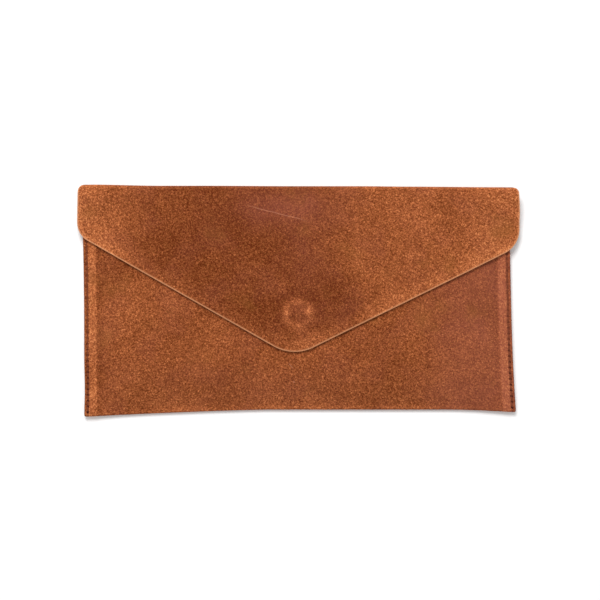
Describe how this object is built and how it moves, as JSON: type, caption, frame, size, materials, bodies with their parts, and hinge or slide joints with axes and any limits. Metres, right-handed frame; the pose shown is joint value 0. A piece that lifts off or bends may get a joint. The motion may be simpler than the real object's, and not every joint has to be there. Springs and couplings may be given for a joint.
{
  "type": "envelope clutch wallet",
  "caption": "Flat envelope clutch wallet in suede: pointed fold-over flap with a covered magnetic snap, stitched sides, folded bottom, lined pocket with a slip pocket.",
  "frame": {"origin": "middle of the closed wallet's footprint, on the surface that its back panel lies on", "axes": "+X along the wallet to the right when the flap is seen, +Y from the bottom fold to the top fold, +Z out of the front, through the flap"},
  "size_m": [0.28, 0.144, 0.0147],
  "materials": {
    "suede": "napped suede, tan rust, brushed and mottled, fully matt",
    "facing_suede": "thin split suede, the same tan rust a little darker, matt",
    "lining": "plain-weave cotton lining, brown",
    "interlining": "bonded fibre interlining, buff",
    "thread": "bonded polyester thread, dark brown",
    "snap_metal": "antiqued brass plate, satin",
    "snap_steel": "plated steel, satin",
    "magnet": "sintered ferrite, matt dark grey"
  },
  "bodies": {
    "pouch": {"front_panel": "suede", "back_panel": "suede", "mouth_facing_front": "facing_suede", "mouth_facing_back": "facing_suede", "front_lining": "lining", "back_lining": "lining", "slip_pocket": "lining", "slip_pocket_thread": "thread", "needle_thread_left": "thread", "needle_thread_right": "thread", "bobbin_thread_left": "thread", "bobbin_thread_right": "thread", "socket_cap": "snap_metal", "socket_magnet": "magnet", "socket_base": "snap_steel", "socket_washer": "snap_steel", "front_patch": "interlining"},
    "spine": {"spine_suede": "suede", "spine_facing": "facing_suede"},
    "flap": {"flap_suede": "suede", "flap_interlining": "interlining", "flap_facing": "facing_suede", "stud_plate": "snap_metal", "stud_pin": "snap_metal", "stud_washer": "snap_steel"}
  },
  "joints": [
    {"name": "spine_fold", "type": "hinge", "parent": "pouch", "child": "spine", "pos_m": [0, 0.0706, 0.0014], "axis": [-1, 0, 0], "range_deg": [0, 88]},
    {"name": "flap_fold", "type": "hinge", "parent": "spine", "child": "flap", "pos_m": [0, 0.0706, 0.0111], "axis": [-1, 0, 0], "range_deg": [0, 88]}
  ],
  "couplings": [
    {"joint": "flap_fold", "follows": "spine_fold", "ratio": 1}
  ]
}
